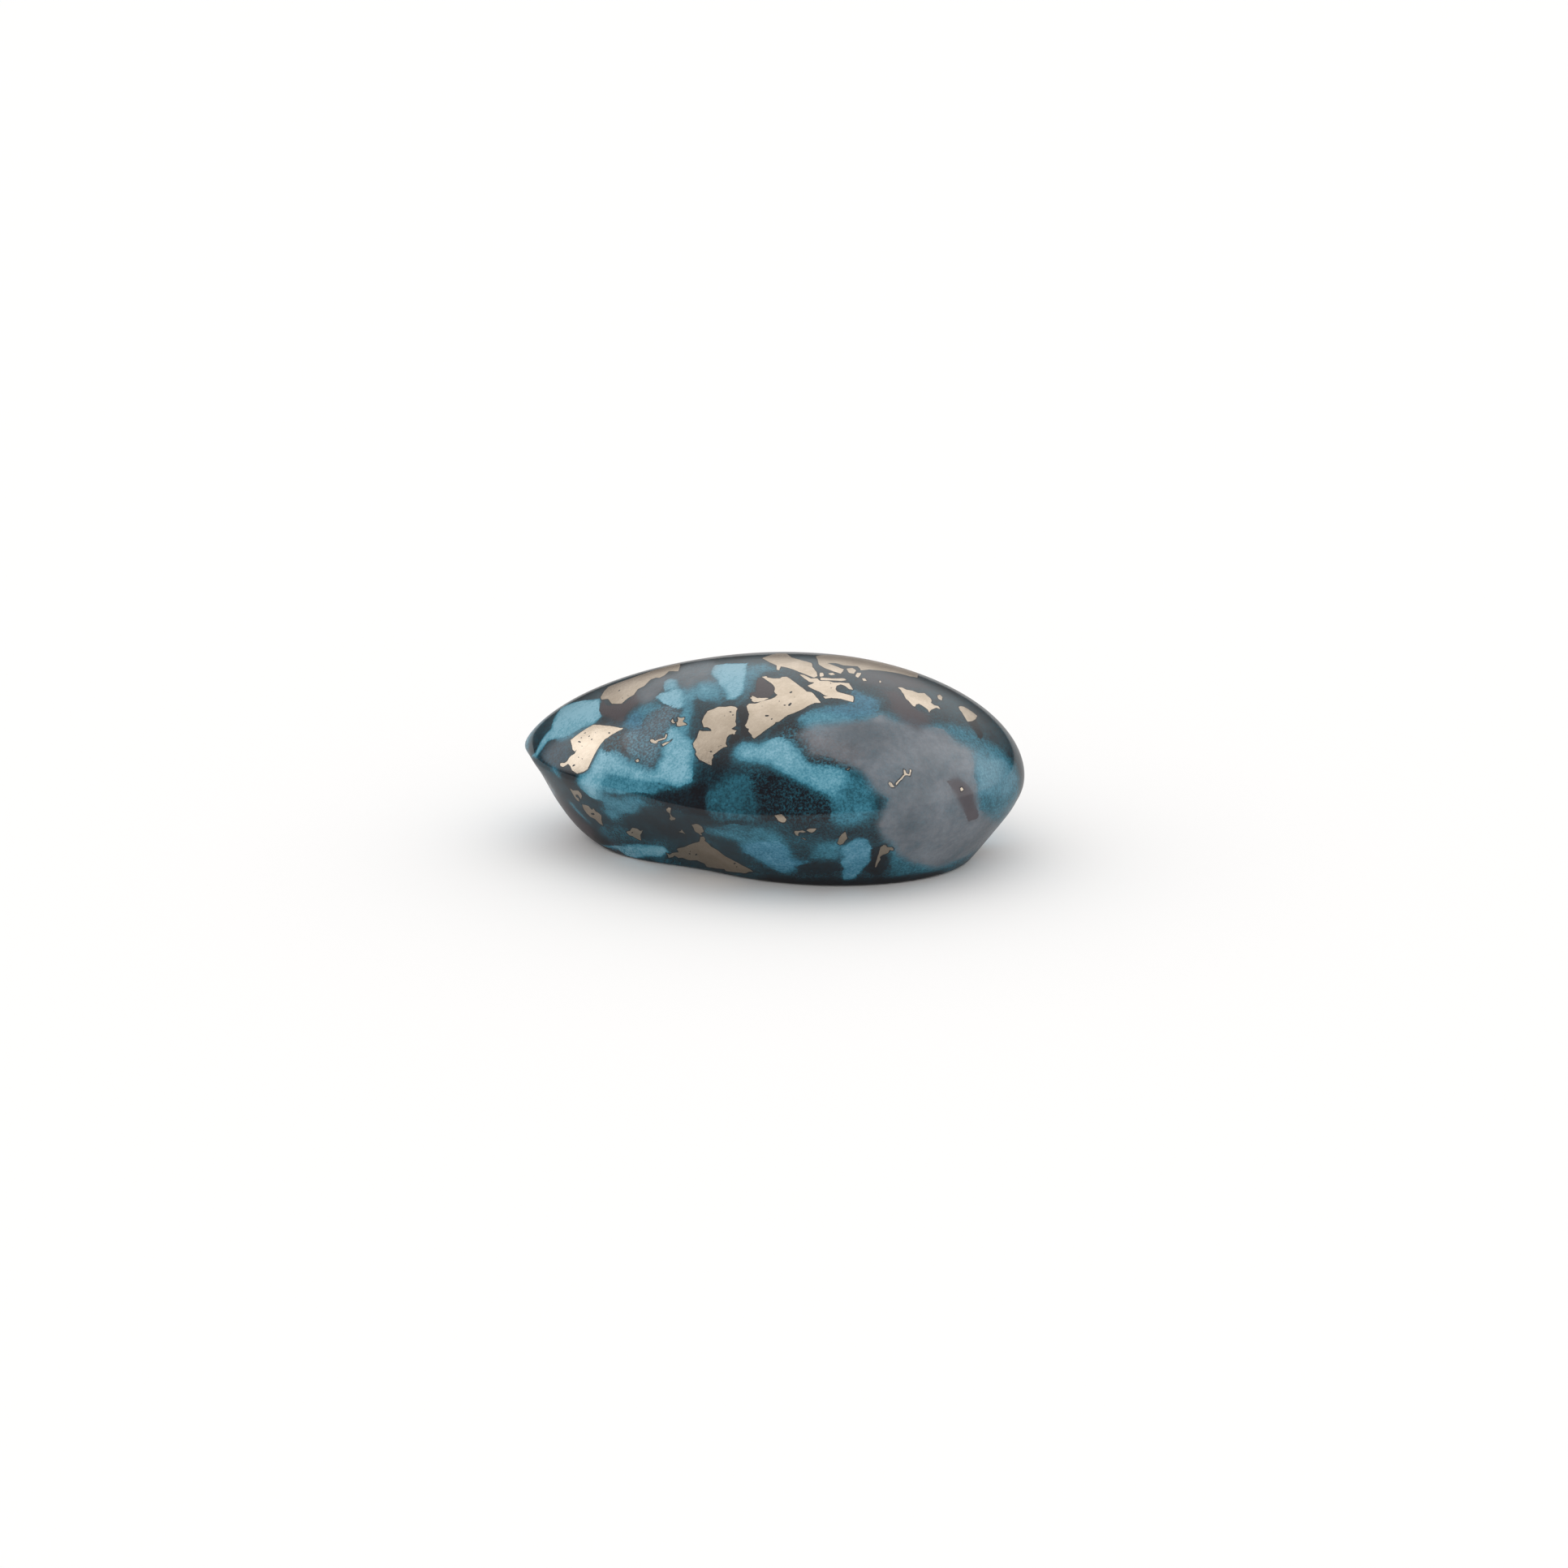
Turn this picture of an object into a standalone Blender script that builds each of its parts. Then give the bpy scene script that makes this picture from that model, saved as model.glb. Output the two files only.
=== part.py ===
"""A polished freeform Persian turquoise, one piece of stone.

The stone is an oval with a high dome above its girdle and a slanted underside
that runs in to a smaller flat base. The cutter ground it by hand, so the girdle
dips to its fuller end, the crown leans that way too, and the outline has a flat
side, a facet and a small lip. The pyrite in it is ground flush with the stone.

Directions: +X along the stone, +Z up, the base at z = 0.
"""

import math

import bmesh
import bpy
from mathutils import Vector

MM = 0.001

# The girdle is the widest line. Its height is taken at the stone's middle.
GIRDLE_HEIGHT = 3.6 * MM
HALF_LENGTH = 12.2 * MM
HALF_WIDTH = 9.5 * MM
GIRDLE_SLOPE_X = -0.055
GIRDLE_SLOPE_Y = -0.035

# The dome rises from the girdle, and its crown leans towards +X.
DOME_RISE = 6.05 * MM
DOME_POWER = 1.87
CROWN_LEAN = 0.47

# The underside runs in by these widths between the girdle and the base.
UNDERSIDE_RUN_ENDS = 2.65 * MM
UNDERSIDE_RUN_SIDES = 3.5 * MM

# Higher values give a crisper edge.
GIRDLE_CRISPNESS = 70
BASE_CRISPNESS = 90
FACET_CRISPNESS = 90

# Places where the outline was ground in, or left standing where the depth is
# negative: bearing in degrees, spread in degrees, depth.
OUTLINE_CUTS = (
    (230, 40, 1.4 * MM),
    (180, 14, -0.5 * MM),
    (118, 40, 0.3 * MM),
)

# One flat facet was ground under the narrow end. Its distance is taken from the
# stone's middle at girdle height.
FACET_BEARING = 198
FACET_RISE = -35
FACET_DISTANCE = 10.75 * MM

# A shallow hollow under the tip of the narrow end leaves the tip as a lip.
HOLLOW_BEARING = 188
HOLLOW_RISE = 0
HOLLOW_SPREAD = 6
HOLLOW_DEPTH = 0.3 * MM

# The mesh starts as a ball of rings. Latitudes above zero become the dome, those
# down to BASE_EDGE_LATITUDE the underside, and the rest the base.
SEGMENTS = 96
RINGS = 40
BASE_EDGE_LATITUDE = -45
RING_CROWDING = 1.3

# A point nearer to the table than this is set on it.
SEAT_TOLERANCE = 0.004 * MM

# Reach of a surface that a direction never meets, far outside the stone.
BEYOND = 1.0

STONE_COLOUR = (0.085, 0.235, 0.290, 1.0)
STONE_ROUGHNESS = 0.14


def clear_scene():
    for old in list(bpy.data.objects):
        bpy.data.objects.remove(old, do_unlink=True)


def unit(bearing, rise):
    """Unit vector at a bearing and a rise, both in degrees."""
    turn = math.radians(bearing)
    lift = math.radians(rise)
    return Vector((math.cos(turn) * math.cos(lift), math.sin(turn) * math.cos(lift), math.sin(lift)))


def soft_least(first, second, crispness):
    """The smaller of two lengths, with the corner between them rounded."""
    least = min(first, second)
    total = (least / first) ** crispness + (least / second) ** crispness
    return least * total ** (-1 / crispness)


def outline_radius(bearing):
    """Distance from the middle to the girdle, for a bearing in radians."""
    radius = math.hypot(math.cos(bearing) / HALF_LENGTH, math.sin(bearing) / HALF_WIDTH) ** -1
    for cut_bearing, spread, depth in OUTLINE_CUTS:
        away = math.remainder(bearing - math.radians(cut_bearing), math.tau)
        radius -= depth * math.exp(-((away / math.radians(spread)) ** 2))
    return radius


def underside_run(bearing):
    return math.hypot(
        UNDERSIDE_RUN_ENDS * math.cos(bearing),
        UNDERSIDE_RUN_SIDES * math.sin(bearing),
    )


def above_girdle(direction):
    """Height of a direction's tip above the sloping girdle plane."""
    return direction.z - GIRDLE_SLOPE_X * direction.x - GIRDLE_SLOPE_Y * direction.y


def dome_reach(direction):
    lift = above_girdle(direction)
    lean = CROWN_LEAN * max(lift, 0)
    across = math.hypot(direction.x - lean, direction.y)
    bearing = math.atan2(direction.y, direction.x - lean)
    level = (across / outline_radius(bearing)) ** DOME_POWER
    level += (abs(lift) / DOME_RISE) ** DOME_POWER
    return level ** (-1 / DOME_POWER)


def underside_reach(direction):
    bearing = math.atan2(direction.y, direction.x)
    across = math.hypot(direction.x, direction.y)
    slant = across * GIRDLE_HEIGHT - above_girdle(direction) * underside_run(bearing)
    rim = outline_radius(bearing) * GIRDLE_HEIGHT
    if slant * BEYOND <= rim:
        return BEYOND
    return rim / slant


def plane_reach(direction, normal, distance):
    """Distance along a direction to a plane that faces along the normal."""
    facing = direction.dot(normal)
    if facing * BEYOND <= distance:
        return BEYOND
    return distance / facing


def hollow_depth(direction):
    away = direction.angle(unit(HOLLOW_BEARING, HOLLOW_RISE))
    return HOLLOW_DEPTH * math.exp(-((away / math.radians(HOLLOW_SPREAD)) ** 2))


def reach(direction):
    """Distance from the stone's middle to its surface along a unit direction."""
    length = soft_least(dome_reach(direction), underside_reach(direction), GIRDLE_CRISPNESS)
    facet = plane_reach(direction, unit(FACET_BEARING, FACET_RISE), FACET_DISTANCE)
    length = soft_least(length, facet, FACET_CRISPNESS) - hollow_depth(direction)
    base = plane_reach(direction, Vector((0, 0, -1)), GIRDLE_HEIGHT)
    return soft_least(length, base, BASE_CRISPNESS)


def aim(point):
    """Direction in which a point of the ball is pushed out to the surface."""
    bearing = math.atan2(point.y * HALF_WIDTH, point.x * HALF_LENGTH)
    latitude = math.degrees(math.asin(max(-1, min(1, point.z))))
    radius = outline_radius(bearing)
    if latitude >= 0:
        turn = math.radians(90 * (latitude / 90) ** RING_CROWDING)
        across = radius * math.cos(turn)
        lift = DOME_RISE * math.sin(turn)
    elif latitude >= BASE_EDGE_LATITUDE:
        down = 0.5 - 0.5 * math.cos(math.pi * latitude / BASE_EDGE_LATITUDE)
        across = radius - underside_run(bearing) * down
        lift = -GIRDLE_HEIGHT * down
    else:
        inward = (latitude + 90) / (BASE_EDGE_LATITUDE + 90)
        across = (radius - underside_run(bearing)) * inward
        lift = -GIRDLE_HEIGHT
    target = Vector((across * math.cos(bearing), across * math.sin(bearing), 0))
    slope = GIRDLE_SLOPE_X * target.x + GIRDLE_SLOPE_Y * target.y
    target.z = lift + slope * max(0, 1 + min(lift, 0) / GIRDLE_HEIGHT)
    return target.normalized()


def ground_surface(bm):
    """Push the ball's points out to the surface, and seat the base at z = 0."""
    for vert in bm.verts:
        direction = aim(vert.co)
        vert.co = direction * reach(direction)
        vert.co.z += GIRDLE_HEIGHT
        if vert.co.z < SEAT_TOLERANCE:
            vert.co.z = 0


def centre_over_origin(bm):
    middle = Vector((0, 0, 0))
    for axis in (0, 1):
        places = [vert.co[axis] for vert in bm.verts]
        middle[axis] = (min(places) + max(places)) / 2
    bmesh.ops.translate(bm, verts=bm.verts, vec=-middle)


def stone_material():
    material = bpy.data.materials.new("turquoise")
    material.use_nodes = True
    shader = material.node_tree.nodes["Principled BSDF"]
    shader.inputs["Base Color"].default_value = STONE_COLOUR
    shader.inputs["Roughness"].default_value = STONE_ROUGHNESS
    shader.inputs["Metallic"].default_value = 0.0
    return material


def build_stone():
    bm = bmesh.new()
    bmesh.ops.create_uvsphere(bm, u_segments=SEGMENTS, v_segments=RINGS, radius=1.0)
    ground_surface(bm)
    centre_over_origin(bm)
    bmesh.ops.recalc_face_normals(bm, faces=bm.faces)
    mesh = bpy.data.meshes.new("turquoise_stone")
    bm.to_mesh(mesh)
    bm.free()
    mesh.shade_smooth()
    mesh.materials.append(stone_material())
    stone = bpy.data.objects.new("turquoise_stone", mesh)
    bpy.context.scene.collection.objects.link(stone)


clear_scene()
build_stone()
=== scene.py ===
import math

import bmesh
import bpy
import numpy as np
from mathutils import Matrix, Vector, noise
from mathutils.bvhtree import BVHTree


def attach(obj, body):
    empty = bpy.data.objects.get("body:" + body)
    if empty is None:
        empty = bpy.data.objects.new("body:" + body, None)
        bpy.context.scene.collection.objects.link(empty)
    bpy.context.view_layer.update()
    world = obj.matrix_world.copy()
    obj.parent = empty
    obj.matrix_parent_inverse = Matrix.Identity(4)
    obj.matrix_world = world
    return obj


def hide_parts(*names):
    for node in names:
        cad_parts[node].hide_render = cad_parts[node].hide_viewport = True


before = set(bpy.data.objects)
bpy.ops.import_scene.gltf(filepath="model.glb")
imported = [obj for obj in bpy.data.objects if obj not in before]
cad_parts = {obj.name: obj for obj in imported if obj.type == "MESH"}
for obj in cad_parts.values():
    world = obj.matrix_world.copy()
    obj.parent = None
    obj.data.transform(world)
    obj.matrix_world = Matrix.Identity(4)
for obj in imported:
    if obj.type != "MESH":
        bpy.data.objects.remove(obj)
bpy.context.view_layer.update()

scene = bpy.context.scene


# Camera. It looks at the stone's long side through a long lens, from a little
# above the table and a little to the right of square on.
PHOTO_SIDE = 1932
LENS = 100
SENSOR = 36
CAMERA_AZIMUTH = 14.2
CAMERA_ELEVATION = 16.0
CAMERA_DISTANCE = 0.210
NEAREST_SEEN = 0.005
VIEW_CENTRE = Vector((0.000698, -0.000102, 0.00319))


def away_from(azimuth, elevation):
    """Direction from the stone towards a place in the studio, azimuth 0 in front of it."""
    turn = math.radians(azimuth)
    lift = math.radians(elevation)
    return Vector((math.sin(turn) * math.cos(lift), -math.cos(turn) * math.cos(lift), math.sin(lift)))


camera = bpy.data.objects.new("camera", bpy.data.cameras.new("camera"))
camera.data.lens = LENS
camera.data.sensor_width = SENSOR
camera.data.clip_start = NEAREST_SEEN
camera_back = away_from(CAMERA_AZIMUTH, CAMERA_ELEVATION)
camera_turn = camera_back.to_track_quat("Z", "Y")
camera.location = VIEW_CENTRE + camera_back * CAMERA_DISTANCE
camera.rotation_euler = camera_turn.to_euler()
scene.collection.objects.link(camera)
scene.camera = camera
scene.view_settings.view_transform = "Standard"


# Floor. A sheet of smooth white paper, a hair under the stone's base. What the
# polish mirrors of it is painted greyer, a painted shade on its reflections.
PAPER_SIZE = 12.0
PAPER_DROP = 0.00002
PAPER_WHITE = (0.93, 0.925, 0.92, 1.0)
PAPER_PAINTED_REFLECTION_SHADE = (0.40, 0.39, 0.385, 1.0)
PAPER_ROUGHNESS = 0.9


def add(tree, kind, inputs=None, **settings):
    """A new shader node, with its settings, and its inputs set or linked."""
    made = tree.nodes.new("ShaderNode" + kind)
    for name, value in settings.items():
        setattr(made, name, value)
    for name, value in (inputs or {}).items():
        if isinstance(value, bpy.types.NodeSocket):
            tree.links.new(value, made.inputs[name])
        else:
            made.inputs[name].default_value = value
    return made


def blended(tree, share, first, second, blend_type="MIX"):
    inputs = {0: share, 6: first, 7: second}
    return add(tree, "Mix", inputs, data_type="RGBA", blend_type=blend_type).outputs[2]


bpy.ops.mesh.primitive_plane_add(size=PAPER_SIZE, location=(0, 0, -PAPER_DROP))
paper = bpy.context.object
paper.name = "paper"
paper_finish = bpy.data.materials.new("white_paper")
paper_finish.use_nodes = True
tree = paper_finish.node_tree
paper_shader = tree.nodes["Principled BSDF"]
in_polish = add(tree, "LightPath").outputs["Is Glossy Ray"]
# Rays mirrored by the polish see the paper in a painted grey, a painted shade that dims its reflections.
paper_white_and_reflection_shade = blended(tree, in_polish, PAPER_WHITE, PAPER_PAINTED_REFLECTION_SHADE)
tree.links.new(paper_white_and_reflection_shade, paper_shader.inputs["Base Color"])
paper_shader.inputs["Roughness"].default_value = PAPER_ROUGHNESS
paper_shader.inputs["Specular IOR Level"].default_value = 0.0
paper.data.materials.append(paper_finish)


# Light. A white tent all round fills the shadows evenly. In the polish it shows
# as dark low in front and bright overhead, with lamps glowing through the cloth
# at the left, at the right and behind.
TENT_FILL = (1.09, 1.085, 1.08, 1.0)
TENT_DARK = (0.075, 0.065, 0.06, 1.0)
TENT_BRIGHT = (0.66, 0.64, 0.62, 1.0)
TENT_LEAN = (0, 0.5, 1.0)
TENT_FADE = (0.45, 1.0)

# Each lamp has its azimuth and elevation, the radius of its core and of its glow
# in degrees, and its brightness.
TENT_LAMPS = (
    (-95, 27, 12, 27, 1.15),
    (92, 22, 28, 50, 0.9),
    (-172, 42, 10, 36, 0.38),
)


def between(tree, value, low, high, to_low=0.0, to_high=1.0):
    """Value from low to high, turned into a smooth run from to_low to to_high."""
    inputs = {"Value": value, "From Min": low, "From Max": high, "To Min": to_low, "To Max": to_high}
    return add(tree, "MapRange", inputs, interpolation_type="SMOOTHSTEP").outputs["Result"]


def toward(tree, direction, axis):
    return add(tree, "VectorMath", {0: direction, 1: axis}, operation="DOT_PRODUCT").outputs["Value"]


world = bpy.data.worlds.new("light_tent")
world.use_nodes = True
scene.world = world
tree = world.node_tree
direction = add(tree, "TexCoord").outputs["Generated"]
upward = between(tree, toward(tree, direction, TENT_LEAN), *TENT_FADE)
cloth = blended(tree, upward, TENT_DARK, TENT_BRIGHT)
for azimuth, elevation, core, glow, brightness in TENT_LAMPS:
    edge = math.cos(math.radians(glow))
    full = math.cos(math.radians(core))
    nearness = toward(tree, direction, away_from(azimuth, elevation))
    lamp = between(tree, nearness, edge, full, 0.0, brightness)
    cloth = blended(tree, 1.0, cloth, lamp, "ADD")
in_polish = add(tree, "LightPath").outputs["Is Glossy Ray"]
tree.links.new(blended(tree, in_polish, TENT_FILL, cloth), tree.nodes["Background"].inputs["Color"])


# Stone, its form. One piece of turquoise with its dark host rock and pyrite,
# ground on a wheel to a domed oval and polished all over, pyrite and all.
# From here on the stone is worked out in millimetres.
MM = 0.001
GIRDLE_HEIGHT = 3.6
HALF_LENGTH = 12.2
HALF_WIDTH = 9.5
GIRDLE_SLOPE_X = -0.055
GIRDLE_SLOPE_Y = -0.035
DOME_RISE = 6.05
DOME_POWER = 1.87
CROWN_LEAN = 0.47
UNDERSIDE_RUN_ENDS = 2.65
UNDERSIDE_RUN_SIDES = 3.5
GIRDLE_CRISPNESS = 70
BASE_CRISPNESS = 90
FACET_CRISPNESS = 90
# Each cut has its bearing and spread in degrees, and its depth.
OUTLINE_CUTS = (
    (230, 40, 1.4),
    (180, 14, -0.5),
    (118, 40, 0.3),
)
FACET_BEARING = 198
FACET_RISE = -35
FACET_DISTANCE = 10.75
HOLLOW_BEARING = 188
HOLLOW_RISE = 0
HOLLOW_SPREAD = 6
HOLLOW_DEPTH = 0.3
SEAT_TOLERANCE = 0.004
BEYOND = 1000.0


def unit(bearing, rise):
    """Unit vector at a bearing and a rise, both in degrees."""
    turn = np.radians(bearing)
    lift = np.radians(rise)
    return np.array((np.cos(turn) * np.cos(lift), np.sin(turn) * np.cos(lift), np.sin(lift)))


def soft_least(first, second, crispness):
    """The smaller of two lengths, with the corner between them rounded."""
    least = np.minimum(first, second)
    total = (least / first) ** crispness + (least / second) ** crispness
    return least * total ** (-1 / crispness)


def outline_radius(bearing):
    """Distance from the middle to the girdle, for bearings in radians."""
    radius = 1 / np.hypot(np.cos(bearing) / HALF_LENGTH, np.sin(bearing) / HALF_WIDTH)
    for cut_bearing, spread, depth in OUTLINE_CUTS:
        away = (bearing - math.radians(cut_bearing) + math.pi) % math.tau - math.pi
        radius -= depth * np.exp(-((away / math.radians(spread)) ** 2))
    return radius


def dome_reach(x, y, lift):
    lean = CROWN_LEAN * np.maximum(lift, 0)
    across = np.hypot(x - lean, y)
    level = (across / outline_radius(np.arctan2(y, x - lean))) ** DOME_POWER
    level += (np.abs(lift) / DOME_RISE) ** DOME_POWER
    return level ** (-1 / DOME_POWER)


def underside_reach(x, y, lift):
    bearing = np.arctan2(y, x)
    run = np.hypot(UNDERSIDE_RUN_ENDS * np.cos(bearing), UNDERSIDE_RUN_SIDES * np.sin(bearing))
    slant = np.hypot(x, y) * GIRDLE_HEIGHT - lift * run
    rim = outline_radius(bearing) * GIRDLE_HEIGHT
    return rim / np.maximum(slant, rim / BEYOND)


def plane_reach(directions, normal, distance):
    return distance / np.maximum(directions @ normal, distance / BEYOND)


def reach(directions):
    """Distance from the stone's middle to its surface along unit directions."""
    x, y, z = directions.T
    lift = z - GIRDLE_SLOPE_X * x - GIRDLE_SLOPE_Y * y
    length = soft_least(dome_reach(x, y, lift), underside_reach(x, y, lift), GIRDLE_CRISPNESS)
    facet = plane_reach(directions, unit(FACET_BEARING, FACET_RISE), FACET_DISTANCE)
    length = soft_least(length, facet, FACET_CRISPNESS)
    away = np.arccos(np.clip(directions @ unit(HOLLOW_BEARING, HOLLOW_RISE), -1, 1))
    length -= HOLLOW_DEPTH * np.exp(-((away / math.radians(HOLLOW_SPREAD)) ** 2))
    base = plane_reach(directions, np.array((0, 0, -1)), GIRDLE_HEIGHT)
    return soft_least(length, base, BASE_CRISPNESS)


def normalised(vectors):
    return vectors / np.linalg.norm(vectors, axis=1, keepdims=True)


def ground_from_middle(directions):
    """Points of the surface, measured from the stone's middle at girdle height."""
    return directions * reach(directions)[:, None]


# A ball of even triangles, flattened as the stone is, gives the first directions.
BALL_SUBDIVISIONS = 6
BALL_HALF_HEIGHT = 5.6
BALL_SHAPE = np.array((HALF_LENGTH, HALF_WIDTH, BALL_HALF_HEIGHT))

ball = bmesh.new()
bmesh.ops.create_icosphere(ball, subdivisions=BALL_SUBDIVISIONS, radius=1.0)
directions = normalised(np.array([vert.co for vert in ball.verts]) * BALL_SHAPE)
triangles = np.array([[vert.index for vert in face.verts] for face in ball.faces])
ball.free()

first_points = ground_from_middle(directions)
low, high = first_points.min(axis=0), first_points.max(axis=0)
MIDDLE = np.array((-(low[0] + high[0]) / 2, -(low[1] + high[1]) / 2, GIRDLE_HEIGHT))


def ground(directions):
    """Points of the finished surface in millimetres, with the base on z = 0."""
    points = ground_from_middle(directions) + MIDDLE
    points[points[:, 2] < SEAT_TOLERANCE, 2] = 0
    return points


# Places on the stone. A place is given by its pixel in the photo, and carried
# along the camera's line of sight to the ground surface.
FOCAL_PIXELS = LENS / SENSOR * PHOTO_SIDE
eye = np.array(camera.location) / MM
blank = BVHTree.FromPolygons(ground(directions).tolist(), triangles.tolist())


def seen(x, y):
    """Direction from the stone's middle to what the photo shows at a pixel."""
    middle = PHOTO_SIDE / 2
    ray = camera_turn @ Vector((x - middle, middle - y, -FOCAL_PIXELS)).normalized()
    place = blank.ray_cast(eye, ray)[0]
    if place is None:
        to_stone = (Vector(MIDDLE) - Vector(eye)).dot(ray)
        place = blank.find_nearest(Vector(eye) + ray * to_stone)[0]
    way = np.array(place) - MIDDLE
    return way / np.linalg.norm(way)


# Markings. Every marking is an outline or a line laid on the surface. Distances
# to them are taken in millimetres, and are positive on their inside.
FAR = 9.0
STEP = 0.6
CHART_UP = (0.0, 0.3, 1.0)
LEAST_SPREAD = 1e-6
LEAST_SQUARE = 1e-12


def laid(places, closed):
    """Points along a marking's path, close enough to follow the stone's curve."""
    corners = np.array([seen(*place) for place in places])
    if closed:
        corners = np.vstack((corners, corners[:1]))
    on_stone = ground(corners)
    path = []
    for first, second, here, there in zip(corners, corners[1:], on_stone, on_stone[1:]):
        pieces = max(1, math.ceil(np.linalg.norm(there - here) / STEP))
        for share in np.arange(pieces) / pieces:
            path.append(first + (second - first) * share)
    path.append(corners[-1])
    return normalised(np.array(path))


def flattened(directions, centre):
    """Directions as places on a flat chart round a centre direction."""
    side = np.cross(centre, CHART_UP)
    side /= np.linalg.norm(side)
    other = np.cross(centre, side)
    spread = np.maximum(1 + directions @ centre, LEAST_SPREAD)
    return np.stack((directions @ side, directions @ other), axis=1) / spread[:, None]


def distance_to_path(points, path):
    nearest = np.full(len(points), np.inf)
    for first, second in zip(path, path[1:]):
        along = second - first
        share = np.clip((points - first) @ along / max(along @ along, LEAST_SQUARE), 0, 1)
        gap = points - first - share[:, None] * along
        nearest = np.minimum(nearest, np.einsum("ij,ij->i", gap, gap))
    return np.sqrt(nearest)


def is_inside(spots, corners):
    inside = np.zeros(len(spots), bool)
    for (x1, y1), (x2, y2) in zip(corners, corners[1:]):
        if y1 == y2:
            continue
        crosses = (spots[:, 1] < y1) != (spots[:, 1] < y2)
        inside ^= crosses & (spots[:, 0] < (x2 - x1) * (spots[:, 1] - y1) / (y2 - y1) + x1)
    return inside


class Marking:
    """An outline, or a line of a given half width, laid on the stone."""

    def __init__(self, places, half_width=None):
        self.closed = half_width is None
        self.half_width = half_width or 0
        self.path = laid(places, self.closed)
        self.on_stone = ground(self.path)
        self.centre = self.path.mean(axis=0)
        self.centre /= np.linalg.norm(self.centre)
        self.heart = self.on_stone.mean(axis=0)
        self.size = np.linalg.norm(self.on_stone - self.heart, axis=1).max() + self.half_width

    def depth(self, points, margin):
        """Distance inside the marking, for points within a margin of it, and -FAR elsewhere."""
        result = np.full(len(points), -FAR)
        near = np.flatnonzero(((points - self.heart) ** 2).sum(axis=1) < (self.size + margin) ** 2)
        if len(near) == 0:
            return result
        gap = distance_to_path(points[near], self.on_stone)
        if self.closed:
            spots = flattened(normalised(points[near] - MIDDLE), self.centre)
            inside = is_inside(spots, flattened(self.path, self.centre))
            result[near] = np.where(inside, gap, -gap)
        else:
            result[near] = self.half_width - gap
        return result


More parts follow.
